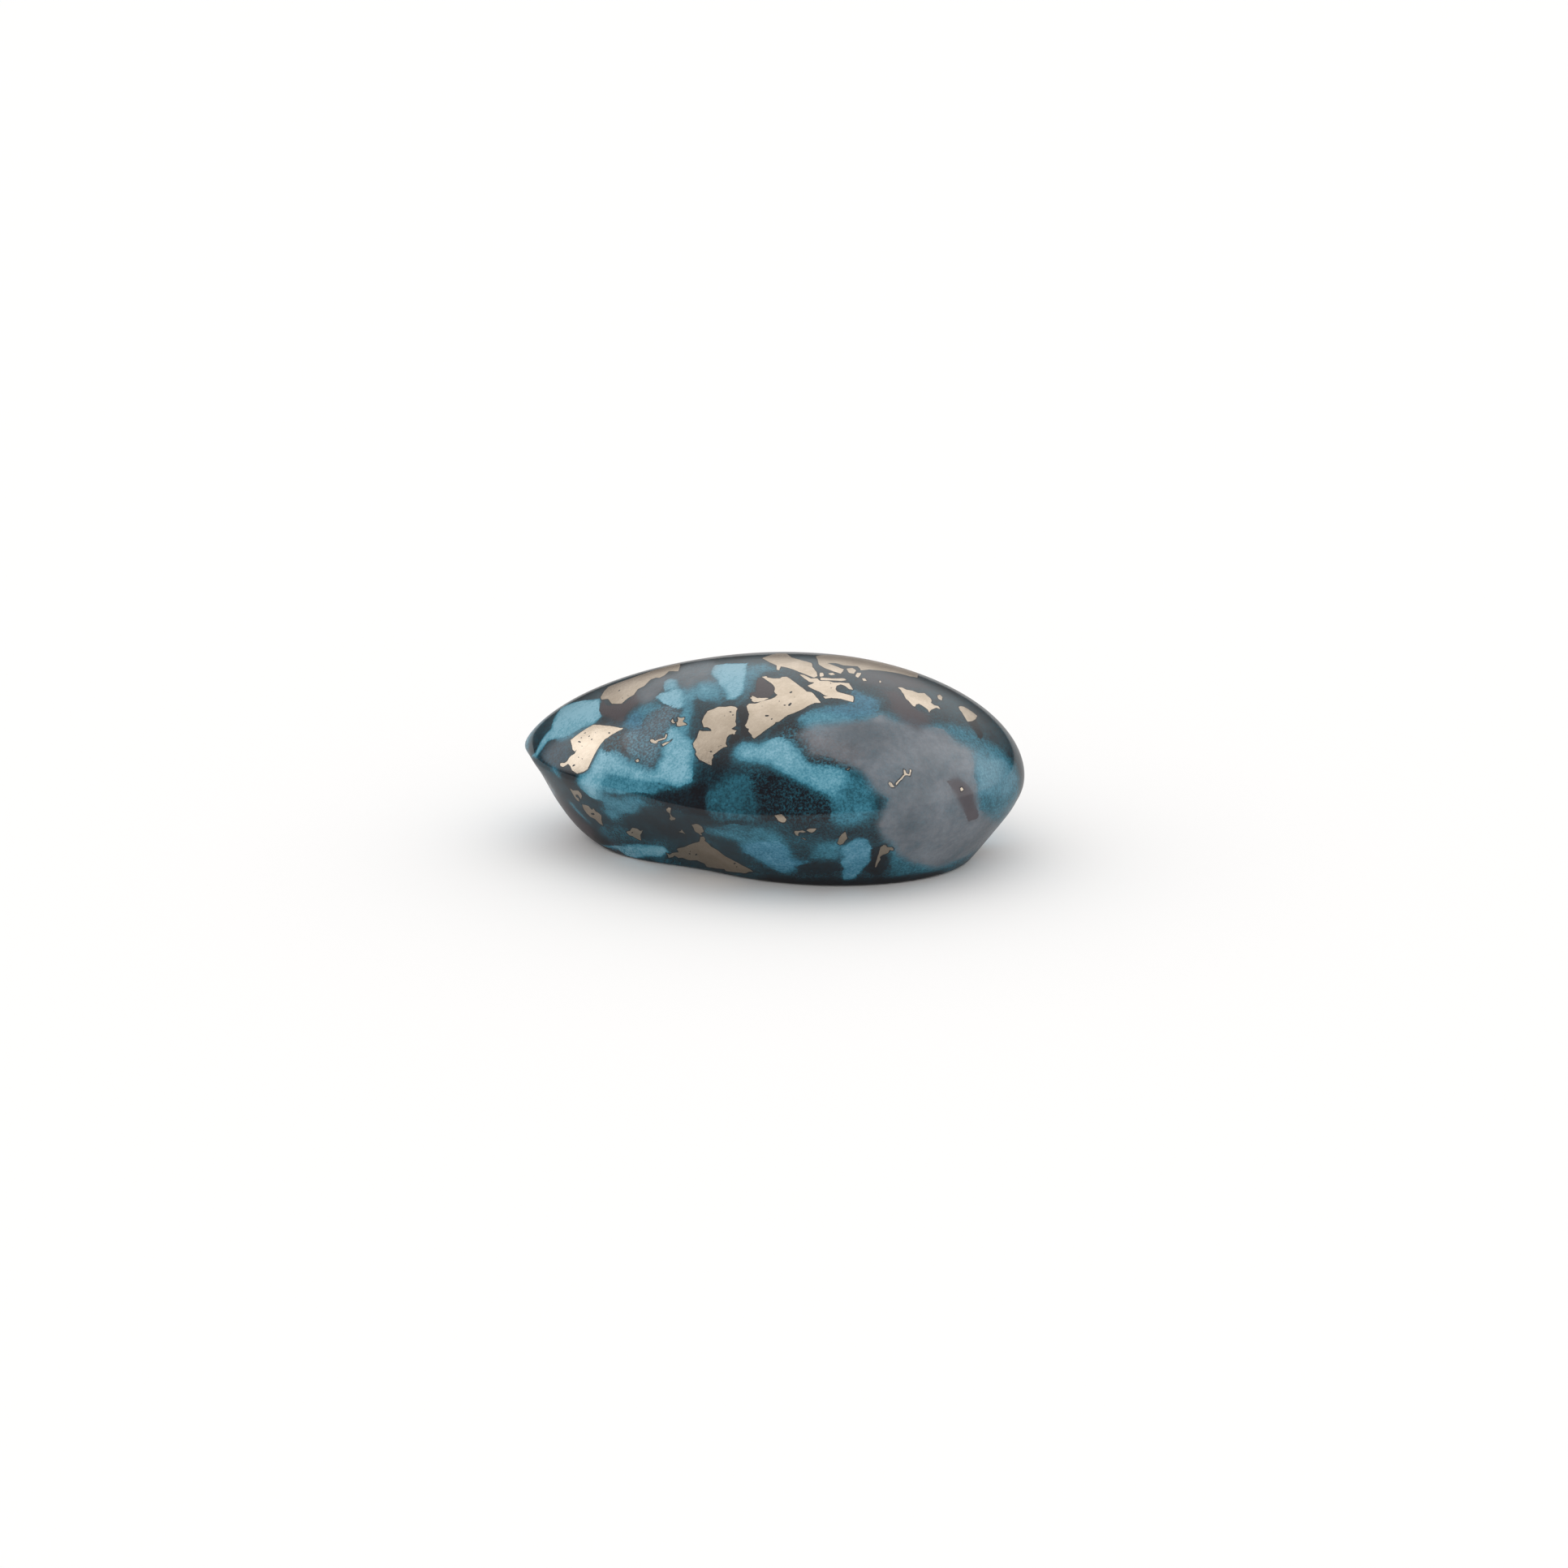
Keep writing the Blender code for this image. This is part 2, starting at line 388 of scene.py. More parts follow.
# Pyrite. Brassy grey iron sulphide that grew in plates and flakes, ground flush.
# The outlines follow the grains that the photo shows.
PYRITE_OUTLINES = (
    # Long patch on the upper left edge.
    ((740, 859), (741, 862), (749, 861), (754, 867), (766, 867), (774, 860), (781, 856), (786, 849),
     (794, 845), (802, 837), (808, 835), (813, 835), (819, 832), (822, 829), (824, 827), (836, 827),
     (838, 821), (838, 817), (806, 826), (777, 836), (750, 846)),
    # Sail on the left.
    ((703, 912), (708, 908), (719, 900), (729, 894), (731, 893), (736, 893), (755, 895), (764, 897),
     (768, 897), (766, 899), (761, 901), (751, 907), (745, 911), (740, 917), (734, 927), (727, 941),
     (724, 948), (719, 951), (711, 953), (705, 949), (703, 944), (700, 941), (697, 943), (694, 945),
     (691, 944), (690, 941), (692, 940), (696, 940), (699, 938), (701, 934), (704, 931), (708, 929),
     (711, 923), (708, 926), (706, 924), (704, 916)),
    # Plate left of the middle.
    ((854, 916), (856, 913), (859, 909), (860, 905), (862, 900), (866, 901), (876, 901), (877, 900),
     (876, 898), (872, 896), (867, 896), (866, 892), (865, 889), (866, 886), (868, 882), (872, 876),
     (878, 874), (885, 871), (893, 871), (901, 870), (906, 871), (909, 873), (907, 876), (907, 882),
     (906, 889), (907, 894), (904, 896), (901, 898), (905, 900), (908, 900), (906, 902), (905, 906),
     (903, 904), (899, 905), (896, 908), (895, 912), (894, 916), (896, 920), (891, 921), (887, 924),
     (883, 927), (878, 930), (879, 933), (877, 936), (877, 943), (874, 942), (868, 939), (862, 936),
     (859, 932), (857, 929), (858, 926), (857, 923), (855, 921)),
    # Large plate in the middle, with a bay in its upper left side.
    ((939, 834), (944, 833), (946, 835), (954, 836), (961, 836), (964, 834), (969, 834), (973, 836),
     (977, 839), (981, 842), (989, 848), (994, 852), (1000, 853), (1004, 857), (1009, 863), (1011, 866),
     (1004, 866), (997, 869), (990, 873), (984, 876), (977, 879), (971, 881), (964, 886), (960, 889),
     (956, 890), (953, 893), (947, 897), (940, 902), (935, 906), (929, 910), (927, 908), (926, 905),
     (922, 901), (923, 898), (920, 897), (918, 894), (920, 891), (922, 885), (923, 880), (921, 875),
     (920, 870), (923, 867), (931, 867), (937, 865), (943, 863), (951, 861), (955, 859), (958, 856),
     (956, 855), (954, 852), (955, 848), (953, 844), (949, 841), (946, 839), (942, 836)),
    # Sliver under the bay.
    ((924, 860), (927, 859), (926, 857), (931, 859), (933, 860), (939, 860), (947, 860), (946, 861),
     (939, 864), (934, 865), (929, 865), (926, 863), (927, 862)),
    # Plate right of it, open round a dark oval.
    ((995, 845), (1000, 843), (1006, 840), (1011, 839), (1020, 839), (1027, 841), (1035, 841),
     (1046, 842), (1051, 850), (1046, 849), (1041, 845), (1036, 843), (1031, 845), (1029, 849),
     (1031, 852), (1037, 854), (1045, 856), (1051, 858), (1052, 861), (1051, 865), (1043, 863),
     (1036, 861), (1026, 860), (1015, 856), (1009, 852), (1001, 849)),
    ((1014, 858), (1017, 861), (1024, 860), (1023, 858)),
    # Bands over the crown.
    ((939, 811), (947, 808), (957, 805), (968, 805), (975, 810), (985, 813), (1000, 817), (1001, 822),
     (1006, 828), (1007, 833), (1003, 835), (995, 832), (985, 828), (975, 824), (968, 822), (962, 821),
     (960, 826), (957, 825), (957, 820), (948, 816)),
    ((1005, 809), (1012, 807), (1040, 807), (1080, 813), (1110, 821), (1130, 829), (1130, 835),
     (1120, 833), (1109, 830), (1097, 828), (1083, 826), (1071, 825), (1061, 826), (1057, 821),
     (1040, 820), (1030, 817), (1019, 817), (1030, 821), (1040, 825), (1036, 830), (1026, 827),
     (1016, 823), (1009, 819)),
    ((985, 831), (991, 832), (999, 836), (1007, 836), (1010, 839), (1004, 841), (997, 840), (991, 836)),
    ((1010, 829), (1014, 829), (1015, 833), (1010, 834)),
    ((1011, 835), (1026, 836), (1040, 836), (1043, 838), (1037, 839), (1011, 838)),
    ((1020, 830), (1026, 829), (1029, 831), (1024, 832)),
    ((1043, 824), (1050, 823), (1055, 826), (1052, 830), (1046, 829)),
    ((1054, 833), (1056, 829), (1061, 829), (1060, 832), (1057, 835)),
    ((1062, 836), (1066, 836), (1068, 839), (1064, 839)),
    ((1083, 838), (1086, 840), (1084, 842)),
    # Two plates towards the right end.
    ((1106, 847), (1111, 847), (1117, 850), (1124, 851), (1131, 854), (1139, 854), (1141, 856),
     (1146, 860), (1148, 863), (1147, 866), (1151, 869), (1156, 870), (1159, 874), (1154, 872),
     (1151, 873), (1148, 874), (1146, 876), (1145, 878), (1143, 874), (1140, 872), (1136, 869),
     (1132, 867), (1129, 868), (1127, 871), (1124, 869), (1120, 864), (1116, 861), (1114, 856),
     (1111, 852), (1109, 849)),
    ((1181, 871), (1184, 870), (1188, 871), (1193, 874), (1199, 878), (1204, 882), (1202, 886),
     (1199, 888), (1194, 889), (1192, 889), (1189, 884), (1186, 879), (1183, 875)),
    ((1155, 857), (1158, 856), (1161, 859), (1160, 863), (1156, 861)),
    # Broken ring and crescents in the granular rock on the left.
    ((829, 885), (827, 889), (829, 891), (834, 891), (834, 894), (837, 895), (841, 894), (846, 893),
     (844, 891), (842, 890), (841, 888), (843, 886), (843, 884), (839, 885), (836, 884), (834, 884),
     (836, 886), (835, 890), (832, 891), (830, 889), (829, 886)),
    ((801, 913), (802, 911), (805, 911), (807, 913), (811, 911), (816, 910), (819, 909), (820, 906),
     (820, 905), (821, 904), (822, 906), (821, 909), (819, 911), (815, 912), (811, 913), (809, 916),
     (806, 916), (803, 915)),
    ((816, 917), (820, 915), (824, 914), (828, 911), (825, 914), (821, 917), (817, 919)),
    ((783, 937), (786, 935), (788, 938), (785, 939)),
    # Flakes under the girdle, from the left to the right.
    ((702, 971), (706, 974), (712, 974), (716, 978), (717, 981), (716, 985), (714, 982), (712, 979),
     (709, 979), (710, 982), (713, 984), (714, 988), (711, 986), (708, 982), (705, 977)),
    ((717, 991), (721, 992), (725, 993), (729, 998), (731, 996), (734, 1000), (738, 1002), (741, 1005),
     (741, 1011), (743, 1017), (739, 1015), (733, 1009), (727, 1006), (723, 1002), (720, 998)),
    ((772, 1025), (776, 1024), (779, 1020), (785, 1021), (789, 1024), (792, 1023), (789, 1029),
     (790, 1036), (784, 1033), (779, 1030), (775, 1029)),
    ((821, 997), (824, 995), (827, 996), (826, 999), (826, 1003), (828, 1006), (832, 1008), (831, 1010),
     (827, 1011), (825, 1009), (826, 1006), (825, 1002), (822, 1000)),
    ((836, 1025), (839, 1024), (840, 1022), (842, 1025), (845, 1028), (841, 1026)),
    ((852, 1016), (855, 1016), (857, 1015), (861, 1016), (865, 1019), (867, 1024), (865, 1026),
     (863, 1026), (865, 1029), (863, 1029), (861, 1027), (857, 1025), (855, 1022), (854, 1019)),
    ((821, 1051), (825, 1053), (829, 1051), (836, 1050), (834, 1046), (837, 1045), (843, 1044),
     (849, 1041), (855, 1039), (862, 1037), (863, 1031), (867, 1031), (869, 1034), (868, 1036),
     (871, 1038), (876, 1043), (883, 1047), (892, 1054), (903, 1060), (914, 1066), (924, 1071),
     (928, 1074), (923, 1074), (918, 1076), (911, 1075), (900, 1074), (894, 1073), (893, 1071),
     (883, 1070), (877, 1069), (871, 1068), (868, 1064), (863, 1062), (859, 1060), (851, 1060),
     (846, 1059), (841, 1057), (836, 1057), (831, 1054), (829, 1056), (824, 1057), (823, 1054)),
    ((954, 1005), (958, 1004), (963, 1003), (966, 1006), (969, 1010), (967, 1013), (963, 1013),
     (959, 1011), (957, 1008)),
    ((979, 1024), (984, 1024), (989, 1023), (993, 1025), (989, 1026), (985, 1025), (983, 1028),
     (984, 1030), (981, 1029), (979, 1026)),
    ((994, 1023), (997, 1021), (1006, 1021), (1004, 1024), (1000, 1026), (997, 1025)),
    ((988, 1033), (991, 1033), (993, 1035)),
    ((1032, 1039), (1034, 1033), (1037, 1028), (1041, 1025), (1043, 1029), (1044, 1033), (1041, 1036),
     (1039, 1039), (1035, 1041)),
    ((1078, 1069), (1079, 1064), (1081, 1057), (1083, 1051), (1085, 1044), (1089, 1041), (1092, 1042),
     (1093, 1044), (1099, 1044), (1101, 1046), (1100, 1048), (1096, 1047), (1094, 1051), (1088, 1053),
     (1084, 1056), (1085, 1059), (1082, 1063), (1080, 1068)),
    # Bright wire with a ring at its end, and two bright dots.
    ((1113, 948), (1115, 949), (1116, 952), (1118, 954), (1120, 954), (1121, 950), (1121, 948),
     (1123, 949), (1122, 952), (1121, 956), (1118, 955), (1115, 955), (1111, 960), (1108, 963),
     (1105, 967), (1103, 968), (1104, 965), (1109, 960), (1114, 954)),
    ((1095, 966), (1096, 963), (1099, 965), (1102, 970), (1098, 970)),
    ((1183, 971), (1185, 970), (1187, 973), (1184, 975)),
    ((1042, 948), (1044, 948), (1047, 946), (1045, 949)),
)

# Small pits torn out of the plates, each with its pixel and its length in pixels.
PYRITE_PITS = (
    (721, 903, 3), (716, 909, 2), (726, 907, 3), (729, 911, 3), (714, 914, 4), (717, 919, 2), (713, 933, 2),
    (717, 935, 2), (707, 943, 4), (751, 903, 3), (734, 903, 2), (763, 851, 3), (767, 860, 2), (774, 857, 2),
    (900, 877, 3), (903, 881, 3), (893, 882, 2), (876, 926, 4), (886, 920, 2), (888, 919, 2),
    (973, 868, 6), (967, 869, 3), (975, 853, 4), (945, 882, 5), (951, 886, 3), (939, 870, 2), (960, 864, 2),
    (979, 859, 2), (730, 1003, 5), (779, 1026, 3), (851, 1049, 2), (850, 1052, 3), (858, 1053, 3),
    (905, 1064, 3), (908, 1068, 2), (1023, 842, 2), (1024, 848, 2),
)
PIT_SIDES = 7
PIT_LEANS = (-0.9, 0.3)
PIT_UNEVENNESS = (0.75, 1.25)
PIT_SLENDERNESS = 0.55
ROUGH_EDGE = 0.018
ROUGH_EDGE_SCALE = 4.5
NOISE_SEED = 3
noise.seed_set(NOISE_SEED)


def pit_outline(x, y, length, number):
    """A small uneven ring of places round a pixel."""
    chance = np.random.default_rng(number)
    lean = chance.uniform(*PIT_LEANS)
    places = []
    for corner in range(PIT_SIDES):
        turn = math.tau * corner / PIT_SIDES
        half = length / 2 * chance.uniform(*PIT_UNEVENNESS)
        along = half * math.cos(turn)
        across = half * PIT_SLENDERNESS * math.sin(turn)
        places.append((x + along * math.cos(lean) - across * math.sin(lean),
                       y + along * math.sin(lean) + across * math.cos(lean)))
    return places


pyrite = [Marking(places) for places in PYRITE_OUTLINES]
pits = [Marking(pit_outline(*pit, number)) for number, pit in enumerate(PYRITE_PITS)]
PYRITE_MARGIN = 0.7


def ragged(points):
    """The points, moved about a little, so that what is measured there has rough edges."""
    shifts = [noise.noise_vector(Vector(point) * ROUGH_EDGE_SCALE) for point in points]
    return points + np.array(shifts) * ROUGH_EDGE


def pyrite_depth(points):
    """Distance inside the pyrite, negative in the stone."""
    points = ragged(points)
    depth = np.full(len(points), -FAR)
    for grain in pyrite:
        depth = np.maximum(depth, grain.depth(points, PYRITE_MARGIN))
    for pit in pits:
        depth = np.minimum(depth, -pit.depth(points, PYRITE_MARGIN))
    return depth


# Colour. Each wash lays values of one or more layers over what is there already.
# A layer runs from 0 to 1, and the material turns the layers into colour: blue
# from black rock to sky blue, grey and bark as veils over it, pale as the
# lightness of the grey, denim as a violet cast, and grain as texture.
WASHES = []


def wash(places, fade=0.8, half_width=None, **values):
    """Lay the values of the named layers inside an outline, or along a line."""
    marking = Marking(places, half_width)
    for layer, value in values.items():
        WASHES.append((layer, value, marking, fade))


def stroke(places, half_width, fade=0.5, **values):
    wash(places, fade, half_width, **values)


# Left end, from the tip down to the facet.
wash([(648, 925), (654, 900), (668, 884), (690, 873), (715, 863), (740, 860), (744, 880), (730, 891),
      (712, 899), (694, 906), (676, 913), (668, 925), (662, 935), (655, 933)], blue=0.97, fade=0.35)
stroke([(690, 910), (712, 901), (724, 895)], half_width=0.2, blue=0.8)
wash([(668, 925), (680, 915), (700, 910), (704, 930), (690, 945), (680, 950), (668, 942),
      (664, 932)], blue=0.3)
wash([(668, 925), (680, 915), (700, 910), (704, 930), (690, 945), (668, 940)], denim=0.7)
stroke([(682, 948), (688, 956)], half_width=0.2, blue=0.75)
wash([(690, 944), (703, 948), (712, 955), (706, 965), (703, 975), (695, 968), (690, 955)], blue=0.1)

# Sky blue left of the middle, with an arm up its right side.
wash([(712, 955), (722, 952), (732, 935), (740, 922), (752, 925), (765, 930), (780, 938), (795, 942),
      (805, 945), (815, 930), (818, 905), (828, 897), (845, 900), (853, 915), (852, 935), (851, 962),
      (835, 968), (815, 966), (800, 966), (780, 960), (762, 957), (750, 958), (745, 975), (740, 985),
      (725, 980), (712, 968)], blue=0.93)
wash([(745, 962), (756, 956), (775, 958), (800, 965), (815, 970), (835, 975), (850, 985), (835, 990),
      (800, 982), (770, 977), (747, 975)], blue=0.68, fade=0.25)
wash([(740, 980), (765, 980), (790, 985), (800, 992), (785, 1000), (765, 1003), (750, 1008),
      (743, 1000)], blue=0.68)
wash([(812, 977), (850, 970), (870, 963), (872, 1005), (850, 1003), (825, 997),
      (806, 988)], blue=0.05, fade=0.6)
wash([(765, 1008), (790, 1000), (820, 995), (850, 1005), (860, 1020), (850, 1035), (830, 1030),
      (800, 1035), (775, 1020)], blue=0.15)
wash([(745, 1018), (765, 1020), (790, 1036), (820, 1036), (815, 1042), (780, 1038), (755, 1036),
      (740, 1028)], blue=0.4)
wash([(740, 1040), (760, 1040), (790, 1040), (818, 1043), (822, 1050), (812, 1057), (790, 1057),
      (760, 1054), (748, 1048)], blue=0.88, fade=0.35)
stroke([(706, 990), (716, 1003), (727, 1014)], half_width=0.18, blue=0.8)

# Upper left, from the long pyrite patch to the light blue patches.
wash([(742, 863), (752, 868), (768, 868), (778, 860), (786, 852), (790, 862), (780, 875), (770, 886),
      (755, 886), (742, 880)], blue=0.1, bark=0.7, fade=0.4)
wash([(786, 850), (795, 846), (808, 836), (822, 831), (838, 830), (845, 840), (838, 838), (826, 838),
      (818, 850), (808, 858), (795, 865), (785, 862)], blue=0.3)
wash([(786, 850), (795, 846), (808, 836), (822, 831), (838, 830), (845, 840), (826, 838), (818, 850),
      (808, 858), (795, 865), (785, 862)], grey=0.5)
wash([(820, 840), (828, 836), (838, 838), (838, 850), (822, 852)], blue=0.9, fade=0.3)
wash([(808, 858), (815, 854), (826, 853), (836, 850), (842, 856), (842, 872), (835, 875), (822, 872),
      (812, 868)], blue=1.0, fade=0.25)
wash([(775, 885), (785, 872), (800, 863), (812, 873), (800, 885), (795, 900), (780, 900),
      (765, 895)], blue=0.62)
wash([(740, 888), (775, 883), (785, 875), (795, 885), (795, 900), (775, 900), (760, 893)], denim=0.6)
wash([(800, 878), (812, 871), (828, 873), (838, 880), (830, 893), (825, 900), (812, 906), (800, 905),
      (793, 895)], blue=0.45, fade=0.3)
wash([(768, 905), (785, 900), (800, 903), (815, 915), (810, 930), (800, 945), (790, 938), (775, 930),
      (765, 918)], blue=0.55, fade=0.3)
wash([(768, 905), (793, 895), (800, 878), (812, 871), (828, 873), (838, 880), (825, 900), (815, 915),
      (810, 930), (800, 945), (790, 938), (775, 930), (765, 918)], grey=0.35, grain=0.8)
GRANULAR_GAP = [(752, 905), (768, 900), (775, 915), (770, 928), (760, 925), (748, 930), (741, 925),
                (744, 913)]
wash(GRANULAR_GAP, blue=0.2, fade=0.3)
wash(GRANULAR_GAP, grain=1.0)
stroke([(846, 850), (848, 875), (846, 900)], half_width=0.35, blue=0.72, fade=0.5)

# Top, left of the big plate.
wash([(838, 822), (860, 812), (880, 813), (885, 822), (876, 832), (880, 842), (860, 840), (848, 850),
      (840, 848)], blue=0.35, grey=0.45)
wash([(915, 820), (940, 818), (960, 824), (940, 830), (932, 838), (928, 850), (920, 862),
      (912, 866)], blue=0.6)
wash([(858, 842), (870, 838), (885, 842), (892, 852), (888, 866), (865, 864), (852, 856)], blue=0.7)
wash([(876, 832), (880, 820), (895, 817), (918, 817), (917, 835), (912, 855), (905, 863), (895, 863),
      (890, 850), (884, 842)], blue=1.0, fade=0.3)

# Dark rock round the middle plates.
wash([(909, 873), (915, 869), (920, 870), (923, 880), (920, 891), (918, 894), (922, 901), (926, 907),
      (915, 908), (906, 906), (899, 905), (896, 912), (897, 920), (905, 917), (912, 910),
      (908, 890)], blue=0.03, fade=0.2)
wash([(878, 932), (885, 928), (897, 921), (905, 915), (915, 908), (925, 910), (945, 903), (960, 892),
      (975, 882), (985, 878), (985, 890), (975, 897), (968, 903), (945, 911), (925, 917), (910, 923),
      (903, 935), (895, 950), (885, 955), (878, 950)], blue=0.12)
wash([(933, 836), (939, 835), (944, 838), (953, 844), (955, 848), (954, 852), (951, 856), (947, 859),
      (931, 859), (924, 859), (923, 855), (926, 853), (931, 853),
      (932, 845)], blue=0.04, bark=0.6, fade=0.12)
stroke([(862, 872), (857, 890), (853, 905)], half_width=0.2, blue=0.35)

# Diagonal band of sky blue, and the teal at its lower end.
wash([(985, 935), (1005, 940), (1030, 945), (1045, 950), (1068, 955), (1085, 972), (1082, 990),
      (1075, 1005), (1060, 1015), (1040, 1018), (1020, 1012), (1025, 990), (1010, 980),
      (990, 960)], blue=0.6)
wash([(905, 922), (915, 915), (935, 915), (950, 908), (965, 905), (980, 910), (985, 920), (995, 932),
      (1005, 942), (1020, 946), (1035, 950), (1042, 958), (1040, 972), (1030, 980), (1015, 978),
      (1000, 970), (985, 963), (965, 950), (950, 942), (930, 940), (912, 940), (902, 932)], blue=0.86)
stroke([(1048, 954), (1060, 958), (1068, 964)], half_width=0.2, blue=0.42)
wash([(885, 965), (905, 955), (925, 958), (940, 970), (938, 990), (930, 1010), (900, 1015), (880, 1012),
      (870, 995), (872, 975)], blue=0.42, fade=0.7)
wash([(930, 960), (950, 955), (975, 965), (1000, 978), (1020, 985), (1028, 1000), (1020, 1015),
      (990, 1016), (950, 1015), (935, 1000), (932, 980)], blue=0.18, fade=0.6)
wash([(920, 950), (950, 955), (975, 965), (1000, 978), (1020, 985), (1028, 1000), (1020, 1015),
      (990, 1016), (950, 1010), (935, 985)], grain=0.7)

# Under the girdle, middle and right.
wash([(865, 1020), (900, 1018), (940, 1018), (955, 1025), (965, 1035), (975, 1050), (960, 1060),
      (930, 1045), (905, 1035), (885, 1032), (872, 1028)], blue=0.58)
wash([(915, 1042), (935, 1038), (955, 1037), (968, 1045), (970, 1055), (985, 1060), (1000, 1060),
      (985, 1070), (965, 1075), (945, 1066), (930, 1058), (918, 1050)], blue=0.78, denim=0.5)
wash([(965, 1022), (1000, 1025), (1015, 1032), (1005, 1045), (990, 1055), (975, 1050),
      (968, 1038)], blue=0.33)
wash([(1005, 1040), (1030, 1035), (1045, 1045), (1035, 1058), (1005, 1058), (995, 1052)], blue=0.6)
wash([(1040, 1045), (1055, 1035), (1070, 1035), (1078, 1045), (1070, 1060), (1062, 1075), (1050, 1086),
      (1040, 1085), (1035, 1072), (1032, 1062), (1040, 1055)], blue=0.8, fade=0.35)
wash([(1040, 1045), (1055, 1035), (1070, 1035), (1078, 1045), (1070, 1060), (1062, 1075), (1050, 1086),
      (1040, 1085), (1035, 1072), (1032, 1062)], denim=0.4)
wash([(978, 1068), (1000, 1063), (1025, 1063), (1038, 1072), (1020, 1078),
      (990, 1077)], blue=0.18, fade=0.3)
wash([(1075, 1045), (1085, 1040), (1092, 1038), (1103, 1043), (1106, 1052), (1098, 1060), (1090, 1072),
      (1085, 1085), (1060, 1090), (1068, 1070)], blue=0.07, fade=0.3)
# A near-black band along the base edge: painted shade where the stone meets the paper.
stroke([(760, 1061), (800, 1064), (860, 1074), (900, 1080), (950, 1085), (1000, 1088), (1060, 1089),
        (1110, 1085), (1150, 1078)], half_width=0.4, blue=0.03, fade=0.5)

# Right half: the grey veil, its granular left border and what lies over it.
wash([(1040, 880), (1100, 875), (1140, 890), (1200, 900), (1255, 950), (1250, 990), (1215, 1040),
      (1150, 1075), (1100, 1080), (1085, 1020), (1090, 980), (1060, 945), (1010, 930),
      (990, 905)], blue=0.55)
wash([(1070, 890), (1085, 880), (1100, 890), (1140, 895), (1165, 900), (1180, 915), (1200, 930),
      (1200, 960), (1205, 1000), (1225, 1025), (1190, 1055), (1150, 1070), (1110, 1055), (1090, 1035),
      (1080, 1015), (1095, 985), (1075, 965), (1060, 950), (1035, 940), (1000, 925), (985, 905),
      (1000, 895), (1040, 890)], grey=0.85, fade=0.7)
wash([(985, 885), (1000, 875), (1030, 872), (1060, 872), (1060, 885), (1040, 890), (1020, 893),
      (1005, 905), (992, 900)], blue=0.75)
wash([(1050, 852), (1085, 862), (1078, 880), (1050, 885), (1010, 878), (1040, 868)], blue=0.6, denim=0.5)
wash([(970, 890), (985, 895), (1000, 905), (1020, 905), (1045, 915), (1060, 930), (1040, 945),
      (1020, 945), (1000, 935), (985, 915), (960, 905)], blue=0.32, grain=1.0)
wash([(1090, 850), (1105, 850), (1115, 862), (1125, 872), (1145, 880), (1150, 893), (1130, 898),
      (1108, 890), (1095, 875)], bark=0.85)
wash([(1060, 827), (1090, 829), (1130, 837), (1145, 850), (1100, 848), (1060, 842)], bark=0.5)
wash([(1165, 962), (1180, 960), (1198, 978), (1202, 1010), (1192, 1012), (1182, 990)], bark=0.8, fade=0.4)
wash([(1200, 932), (1235, 935), (1252, 960), (1240, 985), (1205, 980)], blue=0.72, grey=0.2, fade=0.6)
wash([(1197, 889), (1204, 888), (1207, 894), (1209, 903), (1208, 909), (1206, 909), (1203, 903),
      (1200, 896), (1196, 893)], blue=0.04, grey=0.0, fade=0.15)

FADE_WARP = 0.25
FADE_WARP_SCALE = 0.7
CLOUD_STEPS = (17.3, 5.1, 9.7)
CLOUD_ROUGHNESS = 0.7
CLOUD_SPREAD = 2.1
CLOUD_OCTAVES = 4
SEEN_EDGE = 0.12
SEEN_FADE = 0.25

# On the sides that the photo doesn't show, clouds take over. Each layer has its
# value before the washes, and the clouds' scale, seed, contrast, lift and strength.
HIDDEN_CLOUDS = {
    "blue": (0.25, 0.17, 1, 1.1, 0.5, 1.0),
    "grey": (0.0, 0.14, 2, 1.6, 0.0, 0.8),
    "bark": (0.0, 0.2, 4, 2.0, -0.2, 0.8),
    "denim": (0.0, 0.2, 5, 2.0, 0.0, 0.7),
    "grain": (0.25, 0.25, 6, 2.0, 0.0, 1.0),
}
PALE_MIDDLE = 0.5
PALE_SWING = 0.3
PALE_SCALE = 0.3
PALE_SEED = 3


def smooth_share(value):
    value = np.clip(value, 0, 1)
    return value * value * (3 - 2 * value)


def cloud(points, scale, seed):
    """Broad soft noise over the stone, about -1 to 1."""
    shift = Vector([seed * step for step in CLOUD_STEPS])
    fractal = (CLOUD_ROUGHNESS, CLOUD_SPREAD, CLOUD_OCTAVES)
    return np.array([noise.fractal(Vector(point) * scale + shift, *fractal) for point in points])


def colour_layers(points):
    """Value of each layer at each point."""
    normals = normalised((points - MIDDLE) / BALL_SHAPE ** 2)
    facing = np.einsum("ij,ij->i", normals, normalised(eye - points))
    hidden = smooth_share((SEEN_EDGE - facing) / SEEN_FADE)
    layers = {"pale": PALE_MIDDLE + PALE_SWING * cloud(points, PALE_SCALE, PALE_SEED)}
    for name, (before, scale, seed, contrast, lift, strength) in HIDDEN_CLOUDS.items():
        clouds = strength * smooth_share(cloud(points, scale, seed) * contrast + lift)
        layers[name] = before + hidden * (clouds - before)
    shifts = [noise.noise_vector(Vector(point) * FADE_WARP_SCALE) for point in points]
    moved = points + np.array(shifts) * FADE_WARP
    for layer, value, marking, fade in WASHES:
        share = smooth_share(marking.depth(moved, fade) / fade + 0.5)
        layers[layer] += (value - layers[layer]) * share
    return layers


# Mesh. The ball's triangles are halved until they are fine enough to carry each
# marking, and then cut along the edge of the pyrite.
FINEST = 0.045
TOO_LONG = 1.3
COARSEST = 0.30
GROWTH = 0.5
LAYER_STEP = 0.15
FINEST_FOR_LAYERS = 0.10
NORMAL_STEP = 0.10
FINEST_FOR_NORMALS = 0.12
PYRITE_PASSES = 4
COLOUR_PASSES = 2


